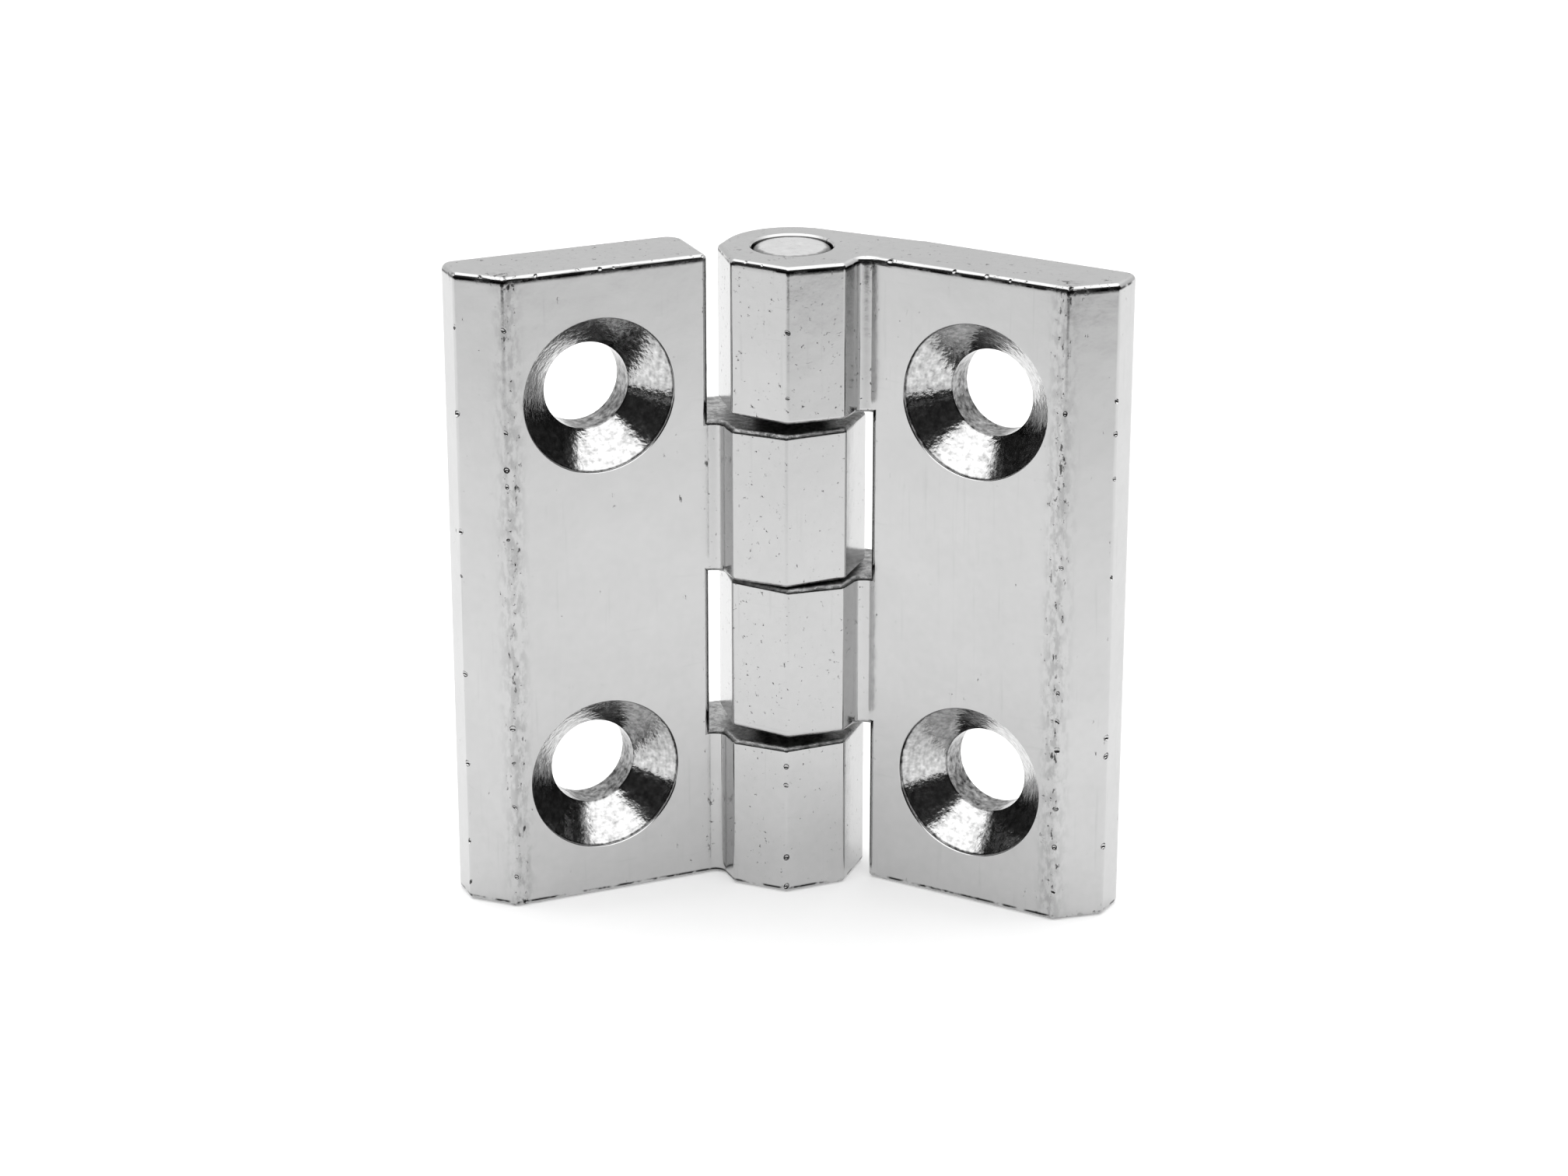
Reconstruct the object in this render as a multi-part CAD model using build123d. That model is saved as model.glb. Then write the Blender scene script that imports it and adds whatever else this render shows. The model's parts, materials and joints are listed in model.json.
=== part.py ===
from build123d import *
import math
import os

# Butt-type leaf hinge: two die-cast leaves with two knuckles each, turning on one steel pin.
# All sizes in mm. Z runs along the pin and points up. The origin is the middle of the left
# leaf's back face, halfway between its two screw holes. The left leaf lies square to the axes:
# its back faces +Y and the pin is on its +X side. The right leaf is folded forward from flat.

# ---- overall sizes ----
hinge_height = 50.0        # both leaves, bottom to top
leaf_reach = 25.6          # pin axis to the outer side of a leaf
leaf_thickness = 6.1       # front face to back face
fold_at_rest = 53.2        # how far the right leaf is folded forward from flat, degrees

# ---- leaf section, measured from the pin axis (out = along the leaf, front = out of its face) ----
back_face_offset = 6.2     # back face behind the axis
swing_clearance = 0.33     # between the plate's end and the other leaf's turning knuckles
bevel_size = 2.8           # 45 degree bevel along the outer edge
outer_back_round = 1.0     # vertical corner between outer side and back
inner_back_round = 1.4     # vertical corner between the plate's end and its back
inner_front_round = 0.5    # vertical corner between the plate's end and its front
root_fillet = 0.9          # inside corner between knuckle and front face
edge_round = 0.30          # softened casting edges

# ---- knuckle: round at the back, faceted at the front ----
knuckle_length = 12.08
knuckle_back = 5.35        # radius of the round back
middle_gap = 0.10          # end play between the two middle knuckles
facet_front = 5.6          # front facet, distance from the axis
facet_near = 2.85          # the front facet's end on the leaf side
facet_far = 2.0            # the front facet's end on the free side
flank_out = 5.9            # flank on the leaf side, distance from the axis
far_side = 5.05            # the free side where it meets the sloping facet, distance from the axis
shoulder = 2.4             # height of the lower ends of the sloping facets above the axis
corner_round = 0.35        # ridges between the facets and along the bevel

# ---- pin and its bores ----
pin_diameter = 6.0
held_clearance = 0.0       # radial, left leaf: the pin is pressed in and stays with it
running_clearance = 0.06   # radial, right leaf: it turns on the pin
bore_mouth = 0.15          # chamfer round the bore's open ends
pin_setback = 0.10         # each pin end below the end of the knuckles
pin_chamfer = 0.6

# ---- countersunk screw holes ----
hole_diameter = 6.7
sink_diameter = 11.85
sink_rim = 0.3             # short straight wall above the cone
sink_angle = 90.0
hole_out = 15.4            # hole centre from the pin axis
hole_spacing = 30.3        # between the two holes of one leaf
rim_break = 0.08           # softened rim of the countersink
back_chamfer = 0.9         # 45 degree chamfer round the hole's back edge

# ---- worked out from the above ----
knuckle_reach = max(
    knuckle_back,
    math.hypot(flank_out, shoulder),
    math.hypot(facet_near, facet_front),
    math.hypot(far_side, shoulder),
)
leaf_end = knuckle_reach + swing_clearance              # where the plate stops
front_face = leaf_thickness - back_face_offset          # front face relative to the axis
end_gap = (hinge_height - 4 * knuckle_length - middle_gap) / 2
upper_knuckle = (hinge_height - knuckle_length, hinge_height)
lower_knuckle = (knuckle_length + end_gap, 2 * knuckle_length + end_gap)
hole_heights = (hinge_height / 2 - hole_spacing / 2, hinge_height / 2 + hole_spacing / 2)
web_overlap = 2.0          # how far a knuckle block runs into the plate so they join as one


def at(out, front):
    """Point of the leaf's own section: out along +X, front along -Y."""
    return (out, -front)


def is_level(edge):
    return abs((edge @ 0).Z - (edge @ 1).Z) < 1e-4


def soften(block):
    """Round all edges of a block's lower and upper end."""
    return fillet(block.edges().filter_by(is_level), edge_round)


def plate():
    """The flat plate with its bevelled outer edge, full height."""
    bevel_start = leaf_reach - bevel_size
    corners = [
        at(leaf_end, -back_face_offset),
        at(leaf_reach, -back_face_offset),
        at(leaf_reach, front_face - bevel_size),
        at(bevel_start, front_face),
        at(leaf_end, front_face),
    ]
    rounds = [inner_back_round, outer_back_round, corner_round, corner_round, inner_front_round]
    with BuildSketch() as section:
        with BuildLine():
            Polyline(*corners, close=True)
        make_face()
        for corner, size in zip(corners, rounds):
            fillet(section.vertices().sort_by_distance((*corner, 0))[0], size)
    return soften(extrude(section.sketch, hinge_height))


def on_back(turn):
    """Point of the knuckle's round back, turned from straight out towards the rear."""
    return at(knuckle_back * math.cos(turn), -knuckle_back * math.sin(turn))


def tangent_turn(out, rear, way):
    """Turn at which a line from a point outside the round back touches it, on one side or the other."""
    return math.atan2(rear, out) % math.tau + way * math.acos(knuckle_back / math.hypot(out, rear))


def knuckle(bottom, top):
    """One knuckle with the short web that ties it to the plate."""
    web_end = leaf_end + web_overlap
    web_turn = tangent_turn(web_end, back_face_offset, 1)
    side_turn = tangent_turn(-far_side, -shoulder, -1)
    ridges = [
        at(flank_out, shoulder),
        at(facet_near, facet_front),
        at(-facet_far, facet_front),
        at(-far_side, shoulder),
    ]
    root = at(flank_out, front_face)
    with BuildSketch(Plane.XY.offset(bottom)) as section:
        with BuildLine():
            Polyline(
                on_back(web_turn),
                at(web_end, -back_face_offset),
                at(web_end, front_face),
                root,
                *ridges,
                on_back(side_turn),
            )
            ThreePointArc(on_back(side_turn), on_back((side_turn + web_turn) / 2), on_back(web_turn))
        make_face()
        for ridge in ridges:
            fillet(section.vertices().sort_by_distance((*ridge, bottom))[0], corner_round)
        fillet(section.vertices().sort_by_distance((*root, bottom))[0], root_fillet)
    return soften(extrude(section.sketch, top - bottom))


def countersink(height):
    """Cutter for one screw hole: through hole, cone and short straight rim."""
    radius = sink_diameter / 2
    depth = (radius - hole_diameter / 2) / math.tan(math.radians(sink_angle / 2))
    hole_radius = hole_diameter / 2
    beyond = 1.0
    profile = Polyline(
        (0, beyond),
        (radius + rim_break, beyond),
        (radius + rim_break, 0),
        (radius, -rim_break),
        (radius, -sink_rim),
        (hole_radius, -sink_rim - depth),
        (hole_radius, back_chamfer - leaf_thickness),
        (hole_radius + back_chamfer, -leaf_thickness),
        (hole_radius + back_chamfer, -leaf_thickness - beyond),
        (0, -leaf_thickness - beyond),
        close=True,
    )
    cutter = revolve(make_face(Plane.XY * profile), Axis.Y)
    return Pos(hole_out, -front_face, height) * Rot(180, 0, 0) * cutter


def bore(bottom, top, radius):
    """Cutter for the pin bore of one knuckle, with a small chamfer at both mouths."""
    profile = Polyline(
        (0, bottom - bore_mouth),
        (radius + 2 * bore_mouth, bottom - bore_mouth),
        (radius, bottom + bore_mouth),
        (radius, top - bore_mouth),
        (radius + 2 * bore_mouth, top + bore_mouth),
        (0, top + bore_mouth),
        close=True,
    )
    return revolve(make_face(Plane.XZ * profile), Axis.Z)


def leaf(bore_clearance):
    """A leaf in its own place: knuckles first and third from the top, reaching towards +X."""
    body = plate()
    for bottom, top in (upper_knuckle, lower_knuckle):
        body = body + knuckle(bottom, top)
    for height in hole_heights:
        body = body - countersink(height)
    for bottom, top in (upper_knuckle, lower_knuckle):
        body = body - bore(bottom, top, pin_diameter / 2 + bore_clearance)
    return body


def pin():
    length = hinge_height - 2 * pin_setback
    body = Cylinder(pin_diameter / 2, length, align=(Align.CENTER, Align.CENTER, Align.MIN))
    body = chamfer(body.edges().filter_by(GeomType.CIRCLE), pin_chamfer)
    return Pos(0, 0, pin_setback) * body


# Everything above is built round the foot of the pin axis; this carries it to the origin.
home = Pos(hole_out, -back_face_offset, -hinge_height / 2)

# Both leaves are the same casting: the left one is turned end for end.
right_leaf = home * Rot(0, 0, -fold_at_rest) * leaf(running_clearance)
left_leaf = home * Pos(0, 0, hinge_height) * Rot(0, 180, 0) * leaf(held_clearance)
hinge_pin = home * pin()

os.makedirs("parts", exist_ok=True)
for name, shape in (("left_leaf", left_leaf), ("right_leaf", right_leaf), ("hinge_pin", hinge_pin)):
    solids = shape.solids()
    print(name, "solids", len(solids), "volume", round(shape.volume, 1), "valid", shape.is_valid)
    export_step(solids[0], f"parts/{name}.step")
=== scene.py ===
# %% [markdown]
# # A die-cast leaf hinge
# The real hinge is three pieces: the same zinc casting used twice, the second one turned end for
# end, and a steel pin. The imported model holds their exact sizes. Here the castings and the pin are
# modelled again by hand, as metal that has been cast, trimmed, drilled, plated and handled: softened
# edges, knocks along them, turned countersinks. The frame says where everything goes.

# %% Load the frame
import json
import math
import random

import bmesh
import bpy
from mathutils import Euler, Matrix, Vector


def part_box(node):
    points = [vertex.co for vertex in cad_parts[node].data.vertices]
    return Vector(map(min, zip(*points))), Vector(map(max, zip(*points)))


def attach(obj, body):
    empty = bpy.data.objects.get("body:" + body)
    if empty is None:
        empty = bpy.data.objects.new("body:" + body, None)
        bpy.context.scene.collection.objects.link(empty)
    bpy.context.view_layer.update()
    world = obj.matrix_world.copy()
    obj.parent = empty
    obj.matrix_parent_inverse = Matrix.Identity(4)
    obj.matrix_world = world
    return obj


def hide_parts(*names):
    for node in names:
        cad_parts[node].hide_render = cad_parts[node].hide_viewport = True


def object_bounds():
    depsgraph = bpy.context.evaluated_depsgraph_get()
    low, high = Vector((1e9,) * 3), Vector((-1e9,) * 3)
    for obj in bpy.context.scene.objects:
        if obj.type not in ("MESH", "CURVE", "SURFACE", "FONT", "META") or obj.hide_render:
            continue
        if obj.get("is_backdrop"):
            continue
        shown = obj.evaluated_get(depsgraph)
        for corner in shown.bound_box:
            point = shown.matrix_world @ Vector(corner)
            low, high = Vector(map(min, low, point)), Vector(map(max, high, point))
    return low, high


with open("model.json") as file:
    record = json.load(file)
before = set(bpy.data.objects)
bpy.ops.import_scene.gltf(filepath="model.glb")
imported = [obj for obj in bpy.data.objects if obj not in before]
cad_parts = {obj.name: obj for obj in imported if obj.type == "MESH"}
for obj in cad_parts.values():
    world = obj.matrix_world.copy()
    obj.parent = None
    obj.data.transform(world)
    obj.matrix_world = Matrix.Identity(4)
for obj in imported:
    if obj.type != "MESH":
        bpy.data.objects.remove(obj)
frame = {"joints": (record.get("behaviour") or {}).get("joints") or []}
cad_box = [list(corner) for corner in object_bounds()]
MM = 0.001
joint = frame["joints"][0]
pin_axis = Vector((joint["pos_m"][0], joint["pos_m"][1], 0.0))
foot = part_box("left_leaf")[0].z
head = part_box("left_leaf")[1].z
height = head - foot
print("hinge height", round(height / MM, 2), "mm, pin axis at", pin_axis)

# %% [markdown]
# ## Working on one piece at a time
# Blender's operators act on everything that is selected, and loading the frame leaves its pieces
# selected. So each step first leaves one piece alone in the selection, and picks vertices, edges or
# faces by where they are. The helpers below do that, and the rest is drawn the way a draughtsman
# draws a section: one vertex extruded from corner to corner.

# %% Selecting
same_place = 1e-6            # points closer than this, a thousandth of a millimetre, are one point


def alone(piece):
    """Only this piece is selected and active, in object mode."""
    active = bpy.context.view_layer.objects.active
    if active and active.mode != "OBJECT":
        bpy.ops.object.mode_set(mode="OBJECT")
    bpy.ops.object.select_all(action="DESELECT")
    piece.select_set(True)
    bpy.context.view_layer.objects.active = piece


def pick(piece, kind, test):
    """In edit mode, select the vertices, edges or faces that pass the test, and no others."""
    bpy.ops.mesh.select_mode(type=kind)
    bpy.ops.mesh.select_all(action="DESELECT")
    mesh = bmesh.from_edit_mesh(piece.data)
    parts = {"VERT": mesh.verts, "EDGE": mesh.edges, "FACE": mesh.faces}[kind]
    chosen = [part for part in parts if test(part)]
    for part in chosen:
        part.select_set(True)
    mesh.select_flush_mode()
    bmesh.update_edit_mesh(piece.data)
    return len(chosen)


def empty_sketch(name, place):
    """A new piece in edit mode that holds one selected vertex."""
    bpy.ops.object.select_all(action="DESELECT")
    bpy.ops.mesh.primitive_plane_add(size=1 * MM, location=(0, 0, 0))
    sketch = bpy.context.object
    sketch.name = name
    bpy.ops.object.mode_set(mode="EDIT")
    bpy.ops.mesh.select_mode(type="VERT")
    bpy.ops.mesh.merge(type="CENTER")
    bpy.ops.transform.translate(value=place)
    return sketch


def draw_line(path):
    """Extrude the selected vertex from point to point."""
    for start, end in zip(path, path[1:]):
        step = [b - a for a, b in zip(start, end)]
        bpy.ops.mesh.extrude_vertices_move(TRANSFORM_OT_translate={"value": step})


def merge_doubles(distance):
    bpy.ops.mesh.select_all(action="SELECT")
    bpy.ops.mesh.remove_doubles(threshold=distance)


def tidy_shell():
    """Merge doubles and turn every face outwards."""
    merge_doubles(same_place)
    bpy.ops.mesh.normals_make_consistent(inside=False)


def cut(piece, tool, operation):
    """Apply a boolean between two pieces and throw the tool away."""
    alone(piece)
    bpy.ops.object.modifier_add(type="BOOLEAN")
    step = piece.modifiers[-1]
    step.operation = operation
    step.solver = "MANIFOLD"
    step.object = tool
    bpy.ops.object.modifier_apply(modifier=step.name)
    bpy.data.objects.remove(tool)


# %% [markdown]
# ## The plate
# Each leaf is a flat plate with a wide 45 degree bevel along its outer edge, so that it does not
# catch a sleeve. It starts as a cube at its real size, standing on the floor, with the pin axis on
# the Z axis and its front towards -Y. Bevelling the upright edges one by one gives each its own size.

# %% Sizes of the casting, from the pin axis
back = 6.2 * MM              # back face behind the axis
thickness = 6.1 * MM
front = thickness - back     # front face, measured towards the front
reach = 25.6 * MM
plate_end = 6.7 * MM         # just clear of the other leaf's knuckles
edge_bevel = 2.8 * MM
softening = 0.40 * MM        # what tumbling and plating leave of a sharp edge
ridge_offset = 0.17 * MM     # the same softening on a 45 degree ridge


def upright_at(x, y):
    """Test for an upright edge that passes through x, y."""
    def near(point):
        return math.hypot(point.x - x, point.y - y) < same_place

    def test(edge):
        a, b = (v.co for v in edge.verts)
        return abs(a.z - b.z) > 1e-7 and near(a) and near(b)
    return test


def round_upright(piece, x, y, size, steps):
    found = pick(piece, "EDGE", upright_at(x, y))
    bpy.ops.mesh.bevel(offset=size, segments=steps, profile=0.5, affect="EDGES")
    print(piece.name, "corner", round(x / MM, 2), round(y / MM, 2), "edges", found)


def level_end(face):
    return abs(face.normal.z) > 0.999


def soften_ends(piece):
    """Round the outlines of a block's lower and upper faces."""
    pick(piece, "FACE", level_end)
    bpy.ops.mesh.region_to_loop()
    bpy.ops.mesh.bevel(offset=softening, segments=4, profile=0.5, affect="EDGES")


def make_plate():
    bpy.ops.object.select_all(action="DESELECT")
    bpy.ops.mesh.primitive_cube_add(
        size=1,
        location=((plate_end + reach) / 2, (back - front) / 2, height / 2),
        scale=(reach - plate_end, thickness, height),
    )
    plate = bpy.context.object
    plate.name = "plate"
    bpy.ops.object.transform_apply(location=True, rotation=False, scale=True)
    bpy.ops.object.mode_set(mode="EDIT")
    corners = [
        (reach, -front, edge_bevel, 1),
        (reach, back, 1.0 * MM, 8),
        (plate_end, back, 1.4 * MM, 8),
        (plate_end, -front, 0.5 * MM, 5),
        (reach - edge_bevel, -front, ridge_offset, 3),
        (reach, edge_bevel - front, ridge_offset, 3),
    ]
    for corner in corners:
        round_upright(plate, *corner)
    soften_ends(plate)
    bpy.ops.object.mode_set(mode="OBJECT")
    return plate


# %% [markdown]
# ## The knuckles
# A knuckle is round at the back and faceted at the front, and a short web ties it to the plate. Its
# outline is drawn corner by corner, the round back is spun about the pin axis, the outline is filled
# and the face is pulled up. A ready-made cylinder would have no facets and no tangent into the web.

# %% Sizes of a knuckle
knuckle_length = 12.08 * MM
middle_gap = 0.10 * MM
outer_gap = (height - 4 * knuckle_length - middle_gap) / 2
round_back = 5.35 * MM
facet_front = 5.6 * MM
facet_near = 2.85 * MM
facet_far = 2.0 * MM
far_side = 5.05 * MM
flank = 5.9 * MM
shoulder = 2.4 * MM
root_round = 0.9 * MM
web_end = plate_end + 2.0 * MM
knuckle_bottoms = (height - knuckle_length, knuckle_length + outer_gap)


def on_back(turn):
    """The point of the round back at an angle about the pin axis."""
    return round_back * math.cos(turn), round_back * math.sin(turn)


def make_knuckle(bottom):
    web_turn = math.atan2(back, web_end) + math.acos(round_back / math.hypot(web_end, back))
    side_lean = math.acos(round_back / math.hypot(far_side, shoulder))
    side_turn = math.pi + math.atan2(shoulder, far_side) - side_lean
    path = [
        (*on_back(web_turn), bottom),
        (web_end, back, bottom),
        (web_end, -front, bottom),
        (flank, -front, bottom),
        (flank, -shoulder, bottom),
        (facet_near, -facet_front, bottom),
        (-facet_far, -facet_front, bottom),
        (-far_side, -shoulder, bottom),
        (*on_back(side_turn), bottom),
    ]
    knuckle = empty_sketch("knuckle", path[0])
    draw_line(path)
    bpy.ops.mesh.spin(steps=40, angle=side_turn - web_turn, center=(0, 0, bottom), axis=(0, 0, 1))
    merge_doubles(same_place)
    bpy.ops.mesh.edge_face_add()
    bpy.ops.mesh.extrude_region_move(TRANSFORM_OT_translate={"value": (0, 0, knuckle_length)})
    tidy_shell()
    round_upright(knuckle, flank, -front, root_round, 8)
    ridges = (
        (flank, -shoulder),
        (facet_near, -facet_front),
        (-facet_far, -facet_front),
        (-far_side, -shoulder),
    )
    for x, y in ridges:
        round_upright(knuckle, x, y, ridge_offset, 3)
    soften_ends(knuckle)
    bpy.ops.object.mode_set(mode="OBJECT")
    return knuckle


# %% [markdown]
# ## Holes
# The screw holes are countersunk on a drill press and the bores are reamed, so both are turned
# shapes. Each cutter is half a profile spun once round its own axis, then taken away from the
# casting. Drawing the profile gives the small broken edge at the rim, which catches the light.

# %% Cutters
hole_radius = 3.35 * MM
sink_radius = 5.925 * MM
sink_rim = 0.3 * MM
back_chamfer = 0.9 * MM
rim_break = 0.13 * MM
hole_out = 15.4 * MM
hole_spacing = 30.3 * MM
hole_heights = (height / 2 - hole_spacing / 2, height / 2 + hole_spacing / 2)
face = -front


def make_sink_cutter(level):
    beyond = 1 * MM
    cone = sink_radius - hole_radius
    profile = [
        (0, face - beyond),
        (sink_radius + rim_break + beyond, face - beyond),
        (sink_radius + 0.3 * rim_break, face + 0.3 * rim_break),
        (sink_radius, face + rim_break),
        (sink_radius, face + sink_rim),
        (hole_radius, face + sink_rim + cone),
        (hole_radius, back - back_chamfer),
        (hole_radius + back_chamfer + beyond, back + beyond),
        (0, back + beyond),
    ]
    path = [(hole_out + r, y, level) for r, y in profile]
    cutter = empty_sketch("sink_cutter", path[0])
    draw_line(path)
    bpy.ops.mesh.select_all(action="SELECT")
    bpy.ops.mesh.spin(steps=120, angle=2 * math.pi, center=(hole_out, 0, level), axis=(0, 1, 0))
    tidy_shell()
    bpy.ops.object.mode_set(mode="OBJECT")
    return cutter


def make_bore_cutter(bottom, radius):
    mouth = 0.15 * MM
    top = bottom + knuckle_length
    profile = [
        (0, bottom - mouth),
        (radius + 2 * mouth, bottom - mouth),
        (radius, bottom + mouth),
        (radius, top - mouth),
        (radius + 2 * mouth, top + mouth),
        (0, top + mouth),
    ]
    path = [(r, 0, z) for r, z in profile]
    cutter = empty_sketch("bore_cutter", path[0])
    draw_line(path)
    bpy.ops.mesh.select_all(action="SELECT")
    bpy.ops.mesh.spin(steps=96, angle=2 * math.pi, center=(0, 0, 0), axis=(0, 0, 1))
    tidy_shell()
    bpy.ops.object.mode_set(mode="OBJECT")
    return cutter


# %% [markdown]
# ## Put the casting together
# Plate and knuckles are joined with booleans, and the holes are cut. The bores come last and
# differ: the pin is held fast in one leaf and turns in the other. So the casting is copied before it
# is bored, each copy with its own mesh.

# %% The raw casting, and one copy for each leaf
casting = make_plate()
for bottom in knuckle_bottoms:
    cut(casting, make_knuckle(bottom), "UNION")
for level in hole_heights:
    cut(casting, make_sink_cutter(level), "DIFFERENCE")


def volume(piece):
    """A boolean that failed shows at once in the volume."""
    shell = bmesh.new()
    shell.from_mesh(piece.data)
    size = shell.calc_volume()
    shell.free()
    return size


def bored_copy(name, radius):
    leaf = casting.copy()
    leaf.data = casting.data.copy()
    leaf.name = name
    bpy.context.scene.collection.objects.link(leaf)
    for bottom in knuckle_bottoms:
        cut(leaf, make_bore_cutter(bottom, radius), "DIFFERENCE")
    print(name, "faces", len(leaf.data.polygons), "volume", round(volume(leaf) / MM**3), "mm3")
    return leaf


pin_radius = 3.0 * MM
held_gap = 0.004 * MM        # as good as line to line: this leaf holds the pin
running_gap = 0.06 * MM      # this one turns on it
left = bored_copy("left_casting", pin_radius + held_gap)
right = bored_copy("right_casting", pin_radius + running_gap)
bpy.data.objects.remove(casting)

# %% [markdown]
# ## Knocks and nicks
# Castings rattle together in a barrel and then in a box of fifty, so the long edges carry small
# dents and the drilled rims are a little ragged. A bump map cannot break an outline, so the larger
# ones are real: small flattened balls, scattered along the edges from a fixed seed and cut away in
# one boolean.

# %% Scatter the knocks
def add_ball(centre, size):
    bpy.ops.mesh.primitive_ico_sphere_add(
        subdivisions=2, radius=1 * MM, location=centre, rotation=(size[0] * 9e3, size[1] * 7e3, 0)
    )
    ball = bpy.context.object
    ball.scale = [s / MM for s in size]
    bpy.ops.object.transform_apply(location=True, rotation=True, scale=True)
    return ball


plain_mark = bpy.data.materials.new("plain_mark")
knock_mark = bpy.data.materials.new("knock_mark")


def knock_edges(leaf, seed):
    dice = random.Random(seed)
    ridge = reach - edge_bevel
    lines = [
        ((plate_end, face, height), (ridge, face, height), 16),
        ((ridge, face, height), (reach, face + edge_bevel, height), 4),
        ((plate_end, face, 0), (ridge, face, 0), 14),
        ((ridge, face, 0), (reach, face + edge_bevel, 0), 4),
        ((ridge, face, 0), (ridge, face, height), 12),
        ((reach, face + edge_bevel, 0), (reach, face + edge_bevel, height), 9),
        ((-facet_far, -facet_front, height), (facet_near, -facet_front, height), 3),
        ((facet_near, -facet_front, height - knuckle_length), (facet_near, -facet_front, height), 4),
    ]
    centres = []
    for start, end, count in lines:
        for _ in range(count):
            centres.append(Vector(start).lerp(Vector(end), dice.uniform(0.01, 0.99)))
    balls = []
    for index, centre in enumerate(centres):
        if all((centre - other).length > 1.0 * MM for other in centres[:index]):
            size = [dice.uniform(0.12, 0.34) * MM for _ in range(3)]
            balls.append(add_ball(centre, size))
            balls[-1].data.materials.append(knock_mark)
    bpy.ops.object.select_all(action="DESELECT")
    for ball in balls:
        ball.select_set(True)
    bpy.context.view_layer.objects.active = balls[0]
    bpy.ops.object.join()
    count = len(balls)
    leaf.data.materials.append(plain_mark)
    leaf.data.materials.append(knock_mark)
    cut(leaf, balls[0], "DIFFERENCE")
    print(leaf.name, "knocks", count, "volume", round(volume(leaf) / MM**3), "mm3")


knock_edges(left, 11)
knock_edges(right, 23)

# %% [markdown]
# ## Put the leaves in their places
# Everything above is built round the foot of the pin axis. One leaf is turned end for end, the other
# is folded forward by 53.2 degrees, and both are carried to the pin. The turns are applied, so the
# objects end at the origin with their places in their meshes.

# %% Turn, carry, apply
fold = math.radians(53.2)


def carry(piece, turn, lift):
    """Turn a piece about the origin, carry it to the pin axis and apply both."""
    alone(piece)
    piece.rotation_euler = turn
    piece.location = pin_axis + Vector((0, 0, lift))
    bpy.ops.object.transform_apply(location=True, rotation=True, scale=True)


left_turn, right_turn = (0, math.pi, 0), (0, 0, -fold)
carry(left, left_turn, head)
carry(right, right_turn, foot)
print("left leaf turned end for end, right leaf folded by", round(math.degrees(fold), 1), "degrees")

# %% [markdown]
# ## Shading that follows the metal
# Light should glide over the rounds, break at the knocks and lie dead flat on the plates. Smooth
# shading alone bends a long flat towards the round at its end, so a line is cut just inside each end
# to hold it, and the normals are weighted by face area. Slivers left by the booleans are merged.

# %% Smooth the castings
def smooth(piece, angle):
    """Round what is round, keep corners and knocks crisp, and let large flats stay flat."""
    alone(piece)
    bpy.ops.object.shade_smooth_by_angle(angle=math.radians(angle))
    bpy.ops.object.mode_set(mode="EDIT")
    if pick(piece, "FACE", lambda face: face.material_index > 0):
        bpy.ops.mesh.region_to_loop()
        bpy.ops.mesh.mark_sharp()
    bpy.ops.object.mode_set(mode="OBJECT")
    bpy.ops.object.modifier_add(type="WEIGHTED_NORMAL")
    piece.modifiers[-1].keep_sharp = True
    bpy.ops.object.modifier_apply(modifier=piece.modifiers[-1].name)


sliver = 0.002 * MM          # what the booleans leave is narrower than this
hold_depth = 0.7 * MM


def hold_ends(piece):
    """Cut a line just inside each end, and merge slivers."""
    alone(piece)
    bpy.ops.object.mode_set(mode="EDIT")
    for level in (foot + hold_depth, head - hold_depth):
        bpy.ops.mesh.select_all(action="SELECT")
        bpy.ops.mesh.bisect(plane_co=(0, 0, level), plane_no=(0, 0, 1))
    merge_doubles(sliver)
    bpy.ops.mesh.dissolve_degenerate(threshold=sliver)
    bpy.ops.object.mode_set(mode="OBJECT")


for leaf in (left, right):
    hold_ends(leaf)
    smooth(leaf, 32)
    print(leaf.name, "faces after the holding lines", len(leaf.data.polygons))

# %% [markdown]
# ## The pin
# A turned steel rod with a chamfer at each end. Its end face is what the light finds: it is slightly
# domed, with the little dimple of a lathe centre. A cylinder is the start; its end faces are inset
# ring by ring and pushed to the dome.

# %% Model the pin
setback = 0.10 * MM          # how far each end lies below the knuckle's end
pin_chamfer = 0.45 * MM
dome_rings = ((0.25, 0.0), (0.9, 0.03), (0.8, 0.01), (0.45, -0.05))    # inset and push, in mm


def make_pin():
    bpy.ops.object.select_all(action="DESELECT")
    bpy.ops.mesh.primitive_cylinder_add(
        vertices=96, radius=pin_radius, depth=height - 2 * setback, location=(0, 0, height / 2)
    )
    pin = bpy.context.object
    pin.name = "turned_pin"
    bpy.ops.object.transform_apply(location=True, rotation=False, scale=False)
    bpy.ops.object.mode_set(mode="EDIT")
    pick(pin, "FACE", level_end)
    bpy.ops.mesh.region_to_loop()
    bpy.ops.mesh.bevel(offset=pin_chamfer, segments=4, profile=0.42, affect="EDGES")
    for sign in (-1, 1):
        pick(pin, "FACE", lambda face: face.normal.z * sign > 0.999)
        for inset, push in dome_rings:
            bpy.ops.mesh.inset(thickness=inset * MM, depth=0)
            bpy.ops.transform.translate(value=(0, 0, sign * push * MM))
    bpy.ops.object.mode_set(mode="OBJECT")
    carry(pin, (0, 0, 0), foot)
    smooth(pin, 40)
    return pin


pin = make_pin()
print("pin faces", len(pin.data.polygons))

# %% [markdown]
# ## Patterns from nodes
# Plated metal could be painted by hand, but a pattern worked out by nodes keeps its sharpness at any
# distance and follows a piece of any size. The same few nodes come back in every finish, so each
# gets a short name here.

# %% Small node helpers
def node(tree, kind, **settings):
    made = tree.nodes.new("ShaderNode" + kind)
    for name, value in settings.items():
        setattr(made, name, value)
    return made


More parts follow.
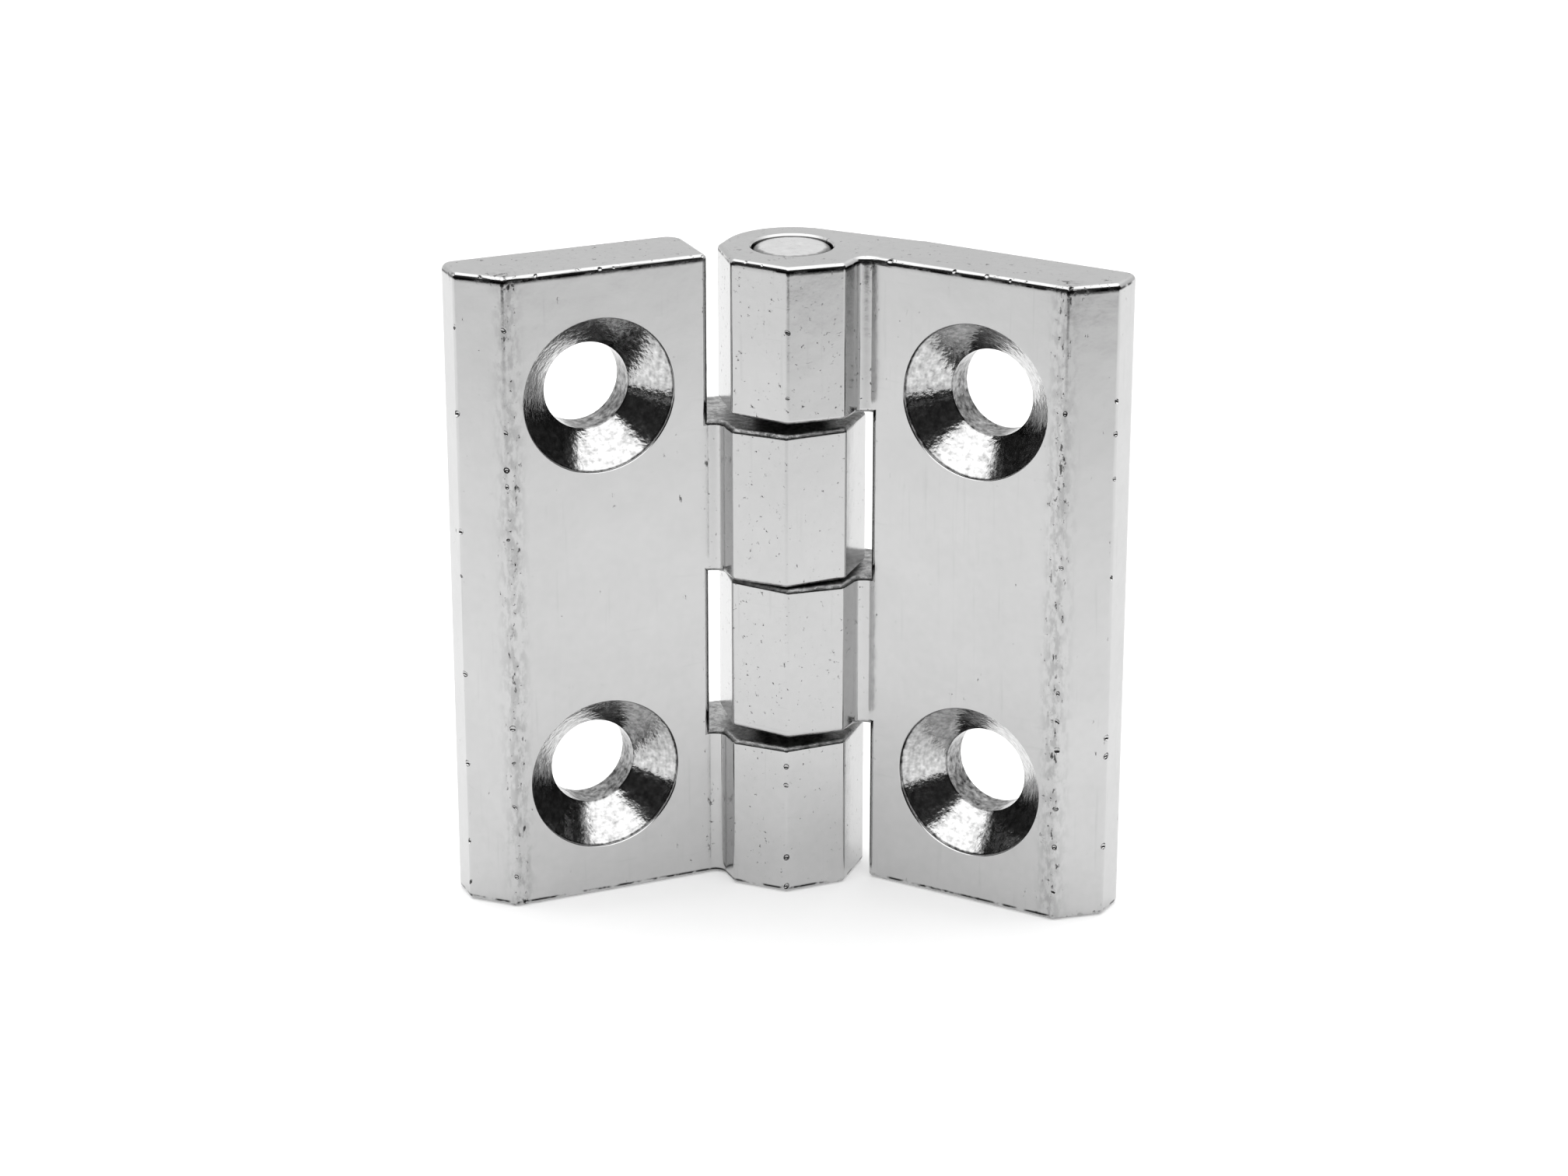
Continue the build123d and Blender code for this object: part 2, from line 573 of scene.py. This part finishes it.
def plug(tree, source, target):
    """Link an output to an input, or set the input to a number."""
    if isinstance(source, (int, float)):
        target.default_value = source
    else:
        tree.links.new(source, target)


def calc(tree, operation, a, b=0.0, c=0.0):
    made = node(tree, "Math", operation=operation)
    for source, target in zip((a, b, c), made.inputs):
        plug(tree, source, target)
    return made.outputs[0]


def ramp(tree, value, low, high, start=0.0, end=1.0):
    """Smooth change from start to end while value goes from low to high."""
    made = node(tree, "MapRange", interpolation_type="SMOOTHSTEP")
    plug(tree, value, made.inputs["Value"])
    for name, number in zip(("From Min", "From Max", "To Min", "To Max"), (low, high, start, end)):
        made.inputs[name].default_value = number
    return made.outputs["Result"]


def noise(tree, place, scale, detail=2.0, rough=0.5):
    """Scale counts cells per metre: 210 makes waves of 5 mm, 9000 a grain of a tenth of a millimetre."""
    made = node(tree, "TexNoise")
    plug(tree, place, made.inputs["Vector"])
    made.inputs["Scale"].default_value = scale
    made.inputs["Detail"].default_value = detail
    made.inputs["Roughness"].default_value = rough
    return made.outputs["Fac"]


def stretch(tree, place, scale):
    made = node(tree, "Mapping")
    plug(tree, place, made.inputs["Vector"])
    made.inputs["Scale"].default_value = scale
    return made.outputs["Vector"]


def bump(tree, heights, distance, below=None):
    made = node(tree, "Bump")
    made.inputs["Distance"].default_value = distance
    plug(tree, heights, made.inputs["Height"])
    if below is not None:
        plug(tree, below, made.inputs["Normal"])
    return made.outputs["Normal"]


def distance_from(tree, a, b):
    """How far a point is from an axis, from its two coordinates across the axis."""
    squares = calc(tree, "ADD", calc(tree, "POWER", a, 2.0), calc(tree, "POWER", b, 2.0))
    return calc(tree, "SQRT", squares)


def add_noise(tree, tone, pattern, amount):
    """Shift a tone up and down by a noise that is centred on a half."""
    return calc(tree, "MULTIPLY_ADD", calc(tree, "SUBTRACT", pattern, 0.5), amount, tone)


def paint(tree, shader, tone):
    """Give the metal one grey."""
    colour = node(tree, "CombineColor")
    for channel in colour.inputs[:3]:
        plug(tree, tone, channel)
    plug(tree, colour.outputs[0], shader.inputs["Base Color"])


def dent(tree, pattern, depth, below):
    """A bump that goes down where the pattern is bright."""
    return bump(tree, calc(tree, "MULTIPLY", pattern, -1.0), depth, below)


def either(tree, a, b):
    """The larger of two values, so two masks become one."""
    return calc(tree, "MAXIMUM", a, b)


cast_grey = 0.50
turned_grey = 0.49
steel_grey = 0.66
darkest = 0.015              # even the bottom of a pit mirrors a little
# the lowest grey that the painted shade in the holes and between the knuckles may reach
lowest_shade_grey = 0.02


def start_finish(name):
    """A new material: its tree and its shader, plated metal all over."""
    made = bpy.data.materials.new(name)
    made.use_nodes = True
    tree = made.node_tree
    shader = tree.nodes["Principled BSDF"]
    shader.inputs["Metallic"].default_value = 1.0
    return made, tree, shader


# %% [markdown]
# ## Where a point lies on its leaf
# Wear follows the part: it gathers on the bevel ridge, at the ends and along the inner edge. To know
# where those are, a finish reads Object coordinates and undoes the leaf's turn with a Mapping node.
# The same recipe then lands in the same place on both leaves, though one stands on its head.

# %% The leaf's own directions from Object coordinates
def leaf_place(tree, turn, lift):
    """Undo a piece's turn and shift; the place whole, then x out from the pin, y behind it, z up."""
    coords = node(tree, "TexCoord")
    mapping = node(tree, "Mapping", vector_type="POINT")
    undo = Euler(turn).to_matrix().inverted()
    mapping.inputs["Rotation"].default_value = undo.to_euler()
    mapping.inputs["Location"].default_value = -(undo @ (pin_axis + Vector((0, 0, lift))))
    plug(tree, coords.outputs["Object"], mapping.inputs["Vector"])
    place = mapping.outputs["Vector"]
    split = node(tree, "SeparateXYZ")
    plug(tree, place, split.inputs[0])
    return place, *split.outputs


# %% [markdown]
# ## Masks
# A mask is one where a kind of wear is strong and fades to nothing beside it; one mask places a painted
# dark line instead. It could be painted on the piece, but worked out from the same sizes as the shape it
# stays on the ridge if that moves.

# %% Masks drawn from the leaf's own sizes
def near_line(tree, value, centre, width):
    """One on the line, fading to nothing at its width."""
    away = calc(tree, "ABSOLUTE", calc(tree, "SUBTRACT", value, centre))
    return ramp(tree, away, 0.0, width, 1.0, 0.0)


def edge_masks(tree, x, y, z):
    """How near a point is to the bevel ridge, to any end or edge, and to the lines below the ends."""
    in_front = ramp(tree, y, face + 1.0 * MM, face + 2.5 * MM, 1.0, 0.0)
    beside_ridge = near_line(tree, x, reach - edge_bevel - 0.4 * MM, 1.5 * MM)
    ridge = calc(tree, "MULTIPLY", beside_ridge, in_front)
    handled = 1.3 * MM
    ends = either(tree, near_line(tree, z, 0.0, handled), near_line(tree, z, height, handled))
    inner = near_line(tree, x, plate_end + 0.2 * MM, 0.9 * MM)
    # the lines low and high place a painted dark line: painted shade and reflection where the rounded
    # ends meet the flats
    seam = softening * 0.92
    low = near_line(tree, z, seam, 0.16 * MM)
    high = near_line(tree, z, height - seam, 0.16 * MM)
    return ridge, either(tree, ends, inner), either(tree, low, high)


# %% [markdown]
# ## Satin chrome on a casting
# The finish is bright plating over a surface that was never quite flat: slow waves from the die, a fine
# orange peel, pits where the metal was porous, and hairline scratches. Each is a texture with its own
# size in metres. The tone stays near one grey, because the room draws the rest. The exception is a
# broken dark line painted where the rounded ends meet the flats, as painted shade and reflection of the
# dark room and shaded floor that the roundings mirror.

# %% The casting finish
def casting_finish(name, turn, lift, seed):
    made, tree, shader = start_finish(name)
    place, x, y, z = leaf_place(tree, turn, lift)
    drift = node(tree, "VectorMath", operation="ADD")
    plug(tree, place, drift.inputs[0])
    drift.inputs[1].default_value = (seed, seed * 0.7, 0.0)
    spot = drift.outputs[0]
    ridge, edges, painted_line_mask = edge_masks(tree, x, y, z)

    waves = noise(tree, spot, 210.0, 2.0)
    peel = noise(tree, spot, 1500.0, 2.0)
    grain = noise(tree, spot, 9000.0, 3.0, 0.6)
    streaky = stretch(tree, spot, (1.0, 1.0, 0.45))
    blots = noise(tree, streaky, 1700.0, 4.0, 0.65)
    crumbs = noise(tree, spot, 2600.0, 4.0, 0.7)

    pit_field = calc(tree, "MULTIPLY_ADD", ridge, 0.10, blots)
    pit_field = calc(tree, "MULTIPLY_ADD", edges, 0.06, pit_field)
    pits = ramp(tree, pit_field, 0.685, 0.76)
    on_knuckle = ramp(tree, x, plate_end - 0.5 * MM, plate_end, 0.85, 0.0)
    worn = either(tree, either(tree, ridge, edges), on_knuckle)
    speck_field = calc(tree, "MULTIPLY_ADD", worn, 0.08, crumbs)
    specks = ramp(tree, speck_field, 0.70, 0.78)
    holes = either(tree, pits, specks)
    patches = ramp(tree, noise(tree, streaky, 2100.0, 3.0, 0.6), 0.40, 0.62)
    # painted shade and reflection: a broken dark line where the rounded ends meet the flats, for the
    # dark room and shaded floor the roundings mirror
    painted_dark_line = calc(tree, "MULTIPLY", painted_line_mask, ramp(tree, noise(tree, spot, 620.0, 3.0, 0.6), 0.40, 0.56))

    hair = noise(tree, stretch(tree, spot, (1.0, 1.0, 0.05)), 2600.0, 2.0)
    hair_cross = noise(tree, stretch(tree, spot, (0.06, 1.0, 1.0)), 2200.0, 2.0)
    scratches = either(tree, ramp(tree, hair, 0.62, 0.80), ramp(tree, hair_cross, 0.66, 0.82))

    tone = add_noise(tree, cast_grey, waves, 0.05)
    tone = add_noise(tree, tone, peel, 0.05)
    tone = calc(tree, "MULTIPLY_ADD", scratches, -0.03, tone)
    tone = calc(tree, "MULTIPLY_ADD", calc(tree, "MULTIPLY", ridge, patches), -0.13, tone)
    tone = calc(tree, "MULTIPLY_ADD", holes, -0.36, tone)
    # the painted dark line darkens the tone along the ends
    tone = calc(tree, "MULTIPLY_ADD", painted_dark_line, -0.55, tone)
    tone = either(tree, tone, darkest)
    paint(tree, shader, tone)

    rough = calc(tree, "MULTIPLY_ADD", peel, 0.10, 0.10)
    rough = calc(tree, "MULTIPLY_ADD", holes, 0.30, rough)
    plug(tree, rough, shader.inputs["Roughness"])

    normal = bump(tree, waves, 0.045 * MM)
    normal = bump(tree, peel, 0.006 * MM, normal)
    normal = bump(tree, grain, 0.0006 * MM, normal)
    normal = dent(tree, holes, 0.004 * MM, normal)
    normal = dent(tree, scratches, 0.0015 * MM, normal)
    plug(tree, normal, shader.inputs["Normal"])
    return made


# %% [markdown]
# ## Turned surfaces
# The countersinks were cut after casting, so they show faint rings from the cutter under a mottled
# plating. Rings need a radius: the distance from the hole's own axis, worked out with a few Math nodes.
# Where the cutter chattered the rings waver, so a little noise is added to them. The tone is darkened in
# a thin ring at the rim, and painted shade darkens the straight wall deep in the hole.

# %% The countersink finish
def turned_finish(name, turn, lift):
    made, tree, shader = start_finish(name)
    place, x, _, z = leaf_place(tree, turn, lift)
    across = calc(tree, "SUBTRACT", x, hole_out)
    from_middle = calc(tree, "ABSOLUTE", calc(tree, "SUBTRACT", z, height / 2))
    beside = calc(tree, "SUBTRACT", from_middle, hole_spacing / 2)
    radius = distance_from(tree, across, beside)
    chatter = noise(tree, place, 700.0, 3.0)
    wavering = calc(tree, "MULTIPLY_ADD", chatter, 0.16 * MM, radius)
    rings = calc(tree, "SINE", calc(tree, "MULTIPLY", wavering, 2 * math.pi / (0.21 * MM)))
    smear = noise(tree, place, 2300.0, 2.0, 0.55)
    tone = calc(tree, "MULTIPLY_ADD", rings, 0.02, turned_grey)
    tone = add_noise(tree, tone, smear, 0.85)
    rim = near_line(tree, radius, sink_radius, 0.11 * MM)
    # painted shade: the straight wall deep in the hole is darkened
    wall = ramp(tree, radius, hole_radius + 0.03 * MM, hole_radius + 0.10 * MM, 0.30, 0.0)
    tone = calc(tree, "SUBTRACT", calc(tree, "MULTIPLY_ADD", rim, -0.34, tone), wall)
    tone = either(tree, tone, lowest_shade_grey)
    paint(tree, shader, tone)
    plug(tree, calc(tree, "MULTIPLY_ADD", smear, 0.14, 0.06), shader.inputs["Roughness"])
    normal = bump(tree, rings, 0.0003 * MM)
    normal = bump(tree, chatter, 0.022 * MM, normal)
    normal = bump(tree, smear, 0.022 * MM, normal)
    plug(tree, normal, shader.inputs["Normal"])
    return made


# %% [markdown]
# ## Hidden sides and the pin
# The faces between the knuckles see no polishing wheel. They stay dull and scribbled with marks from the
# trimming die. Their grey is painted darker than the plates', as painted shade between the knuckles. The
# pin's end is turned steel, with a painted dark ring on its chamfer.

# %% Dull faces between the knuckles, and the pin's steel
def dull_shaded_finish(name):
    made, tree, shader = start_finish(name)
    coords = node(tree, "TexCoord").outputs["Object"]
    scribble = noise(tree, coords, 1900.0, 5.0, 0.7)
    blotch = noise(tree, coords, 500.0, 2.0)
    marks = ramp(tree, scribble, 0.40, 0.60)
    # painted shade: the faces between the knuckles get a darker grey than the plates
    tone = calc(tree, "MULTIPLY_ADD", marks, 0.22, 0.20)
    tone = add_noise(tree, tone, blotch, 0.45)
    tone = either(tree, tone, lowest_shade_grey)
    paint(tree, shader, tone)
    plug(tree, calc(tree, "MULTIPLY_ADD", blotch, 0.2, 0.22), shader.inputs["Roughness"])
    plug(tree, bump(tree, scribble, 0.09 * MM), shader.inputs["Normal"])
    return made


def steel_finish(name):
    made, tree, shader = start_finish(name)
    place, x, y, _ = leaf_place(tree, (0, 0, 0), foot)
    radius = distance_from(tree, x, y)
    mottle = noise(tree, place, 1600.0, 4.0, 0.6)
    rings = calc(tree, "SINE", calc(tree, "MULTIPLY", radius, 2 * math.pi / (0.16 * MM)))
    tone = add_noise(tree, steel_grey, mottle, 0.20)
    # painted shade: a dark ring on the pin's chamfer stands for the shade in the gap at the bore's mouth
    painted_dark_ring = ramp(tree, calc(tree, "MULTIPLY_ADD", mottle, 0.5 * MM, radius), 2.60 * MM, 2.95 * MM)
    tone = calc(tree, "MULTIPLY_ADD", painted_dark_ring, -0.5, tone)
    paint(tree, shader, tone)
    plug(tree, calc(tree, "MULTIPLY_ADD", mottle, 0.2, 0.2), shader.inputs["Roughness"])
    normal = bump(tree, rings, 0.001 * MM)
    normal = bump(tree, mottle, 0.02 * MM, normal)
    plug(tree, normal, shader.inputs["Normal"])
    return made


# %% [markdown]
# ## One finish for each face
# A casting carries three finishes: cast skin, turned holes and dull hidden faces. Marking faces by
# hand would be lost whenever a size changes, so each face is asked where it lies on the unturned leaf.

# %% Give each face its finish
skin = 0.02 * MM             # a hole's wall starts this far below the faces


def in_sink(point):
    """Is a point of the unturned leaf on a turned screw hole?"""
    for level in hole_heights:
        if math.hypot(point.x - hole_out, point.z - level) < sink_radius + skin / 2:
            return face + skin < point.y < back - skin
    return False


def between_knuckles(point, normal):
    """Is it one of the level faces beside a knuckle, away from the leaf's two ends?"""
    inside = softening * 2 < point.z < height - softening * 2
    return inside and abs(normal.z) > 0.5 and point.x < web_end


def dress(piece, turn, lift, finishes):
    undo = Euler(turn).to_matrix().inverted()
    shift = pin_axis + Vector((0, 0, lift))
    piece.data.materials.clear()
    for finish in finishes:
        piece.data.materials.append(finish)
    count = [0, 0, 0]
    for polygon in piece.data.polygons:
        point = undo @ (polygon.center - shift)
        if in_sink(point):
            polygon.material_index = 1
        elif between_knuckles(point, undo @ polygon.normal):
            polygon.material_index = 2
        else:
            polygon.material_index = 0
        count[polygon.material_index] += 1
    print(piece.name, "cast, turned and dull faces", count)


dull = dull_shaded_finish("dull_shaded_between_knuckles")
left_cast = casting_finish("satin_chrome_left", left_turn, head, 0.13)
right_cast = casting_finish("satin_chrome_right", right_turn, foot, 0.41)
left_sink = turned_finish("countersink_left", left_turn, head)
right_sink = turned_finish("countersink_right", right_turn, foot)
dress(left, left_turn, head, (left_cast, left_sink, dull))
dress(right, right_turn, foot, (right_cast, right_sink, dull))
pin.data.materials.append(steel_finish("turned_steel"))

# %% [markdown]
# ## Which body each piece rides on
# The hand-made pieces stand for the imported ones, which are hidden, and ride on the same two bodies.
# The imported pieces take the first finish of their hand-made piece as well.

# %% Replace, ride, share a finish
for piece, name, body, slot in (
    (left, "left_leaf", "fixed_leaf", "casting"),
    (right, "right_leaf", "moving_leaf", "casting"),
    (pin, "hinge_pin", "fixed_leaf", "pin_steel"),
):
    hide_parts(name)
    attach(piece, body)
    packed = bpy.data.objects[name]
    packed.data.materials.clear()
    packed.data.materials.append(piece.data.materials[0])

# %% [markdown]
# ## The camera
# A small part is shown from a little above and to one side, with a long lens from about 30 cm, so
# that both leaves, the knuckles and the pin's end are seen at once and upright edges stay nearly so.

# %% The camera
camera_turn = math.radians(-23.2)
camera_rise = math.radians(20.6)
camera_distance = 310.3 * MM
side = Vector((math.cos(camera_turn), math.sin(camera_turn), 0))
ahead = Vector((-math.sin(camera_turn), math.cos(camera_turn), 0))
up = Vector((0, 0, 1))
aim = pin_axis - 2.22 * MM * up - 0.6 * MM * side
lens = bpy.data.cameras.new("camera")
lens.sensor_width = 36
lens.lens = 92.97
lens.clip_start = 0.01
camera = bpy.data.objects.new("camera", lens)
bpy.context.scene.collection.objects.link(camera)
camera.location = aim + camera_distance * (math.sin(camera_rise) * up - math.cos(camera_rise) * ahead)
camera.rotation_euler = (math.pi / 2 - camera_rise, 0, camera_turn)
bpy.context.scene.camera = camera
bpy.context.scene.view_settings.view_transform = "Standard"
print("camera", round(camera_distance / MM, 1), "mm away with a lens of", round(lens.lens, 2), "mm")

# %% [markdown]
# ## The white floor
# Polished metal shows the room, not itself, so floor and light are planned by what each face mirrors.
# The flat fronts mirror the floor, a sheet of white paper. The sheet also glows: painted light, an
# emission stronger near the hinge than towards the viewer, so the flats grow darker at the top.

# %% The white floor
paper_grey = 0.74
# painted light: the floor's own glow, stronger near the hinge than far in front of it
near_glow, far_glow = 0.40, 0.10
glow_fades = 35 * MM, 150 * MM      # between these distances in front of the pin


def floor_finish():
    made = bpy.data.materials.new("white_sheet")
    made.use_nodes = True
    tree = made.node_tree
    tree.nodes.clear()
    coords = node(tree, "TexCoord").outputs["Object"]
    fibre = noise(tree, coords, 400.0, 3.0)
    diffuse = node(tree, "BsdfDiffuse")
    glow = node(tree, "Emission")
    total = node(tree, "AddShader")
    out = node(tree, "OutputMaterial")
    diffuse.inputs["Color"].default_value = (paper_grey, paper_grey, paper_grey, 1)
    towards = node(tree, "VectorMath", operation="DOT_PRODUCT")
    plug(tree, coords, towards.inputs[0])
    towards.inputs[1].default_value = -ahead
    nearer = calc(tree, "SUBTRACT", towards.outputs["Value"], pin_axis.dot(-ahead))
    plug(tree, bump(tree, fibre, 0.02 * MM), diffuse.inputs["Normal"])
    plug(tree, ramp(tree, nearer, *glow_fades, near_glow, far_glow), glow.inputs["Strength"])
    plug(tree, diffuse.outputs[0], total.inputs[0])
    plug(tree, glow.outputs[0], total.inputs[1])
    plug(tree, total.outputs[0], out.inputs["Surface"])
    return made


bpy.ops.object.select_all(action="DESELECT")
bpy.ops.mesh.primitive_plane_add(size=4.0, location=(pin_axis.x, pin_axis.y, foot))
floor = bpy.context.object
floor.name = "floor"
bpy.ops.object.transform_apply(location=True, rotation=False, scale=False)
floor.data.materials.append(floor_finish())
floor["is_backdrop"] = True

# %% [markdown]
# ## The bench in front
# The sheet ends two hands' breadths in front of the hinge, and the bench beyond it is dark. That edge
# is what draws the sharp black sectors in the countersinks. Only reflections should see the bench,
# so a black card stands for it and its other kinds of ray are switched off.

# %% The dark bench in front
def bench_finish():
    made = bpy.data.materials.new("dark_bench")
    made.use_nodes = True
    shader = made.node_tree.nodes["Principled BSDF"]
    shader.inputs["Base Color"].default_value = (0.01, 0.01, 0.01, 1)
    shader.inputs["Roughness"].default_value = 1.0
    shader.inputs["Specular IOR Level"].default_value = 0.0
    return made


sheet_edge = 168 * MM
bpy.ops.object.select_all(action="DESELECT")
bpy.ops.mesh.primitive_plane_add(size=2.0, location=(0, -1.0 - sheet_edge, 0.5 * MM))
bench = bpy.context.object
bench.name = "bench"
bpy.ops.object.transform_apply(location=True, rotation=False, scale=False)
bench.data.materials.append(bench_finish())
carry(bench, (0, 0, camera_turn), foot)
for ray in ("camera", "diffuse", "transmission", "volume_scatter", "shadow"):
    setattr(bench, "visible_" + ray, False)
bench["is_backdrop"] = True

# %% [markdown]
# ## The room
# The upper ends mirror the pale wall behind. The softened edges and the lower halves of the
# countersinks mirror a dark room in front, then the bright panel overhead. A world of greys by
# direction holds that room, and lamps would add spots that satin metal doesn't show. The camera
# itself sees plain white, as a studio backdrop is.

# %% The room, as the metal sees it
def greys(tree, value, stops):
    made = node(tree, "ValToRGB")
    points = made.color_ramp.elements
    while len(points) < len(stops):
        points.new(0.5)
    for point, (place, grey) in zip(points, stops):
        point.position = place
        point.color = (grey, grey, grey, 1)
    plug(tree, value, made.inputs[0])
    return made.outputs[0]


# How high a direction points, from level to straight up, and how bright the room is there.
room_in_front = [(0.0, 0.05), (0.04, 0.008), (0.69, 0.010), (0.76, 0.56), (1.0, 0.70)]
wall_behind = [(0.0, 0.26), (0.35, 0.26), (0.62, 0.38), (0.86, 0.62), (1.0, 0.70)]
room_strength = 3.4
backdrop_strength = 1.2


def room():
    world = bpy.data.worlds.new("studio")
    bpy.context.scene.world = world
    world.use_nodes = True
    tree = world.node_tree
    tree.nodes.clear()
    coords = node(tree, "TexCoord").outputs["Generated"]
    split = node(tree, "SeparateXYZ")
    plug(tree, coords, split.inputs[0])
    towards = node(tree, "VectorMath", operation="DOT_PRODUCT")
    plug(tree, coords, towards.inputs[0])
    towards.inputs[1].default_value = -ahead
    rise = split.outputs[2]
    in_front = ramp(tree, towards.outputs["Value"], -0.25, 0.15)
    before = greys(tree, rise, room_in_front)
    behind = greys(tree, rise, wall_behind)
    blend = node(tree, "MixRGB")
    plug(tree, in_front, blend.inputs[0])
    plug(tree, behind, blend.inputs[1])
    plug(tree, before, blend.inputs[2])
    seen = node(tree, "Background")
    plug(tree, blend.outputs[0], seen.inputs["Color"])
    seen.inputs["Strength"].default_value = room_strength
    backdrop = node(tree, "Background")
    backdrop.inputs["Color"].default_value = (1, 1, 1, 1)
    backdrop.inputs["Strength"].default_value = backdrop_strength
    path = node(tree, "LightPath")
    choose = node(tree, "MixShader")
    out = node(tree, "OutputWorld")
    plug(tree, path.outputs["Is Camera Ray"], choose.inputs[0])
    plug(tree, seen.outputs[0], choose.inputs[1])
    plug(tree, backdrop.outputs[0], choose.inputs[2])
    plug(tree, choose.outputs[0], out.inputs["Surface"])


room()
print("world, floor and bench are in place")

# %% [markdown]
# ## Compare the size
# The hand-made pieces must fill the imported model's box and not leave it. How much the box grows on
# each side is printed.

# %% Print how the box grows
visual_box = [list(corner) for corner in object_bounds()]
pairs = zip(cad_box[0] + cad_box[1], visual_box[0] + visual_box[1])
print("box grows by", [round((b - a) / MM, 3) for a, b in pairs])
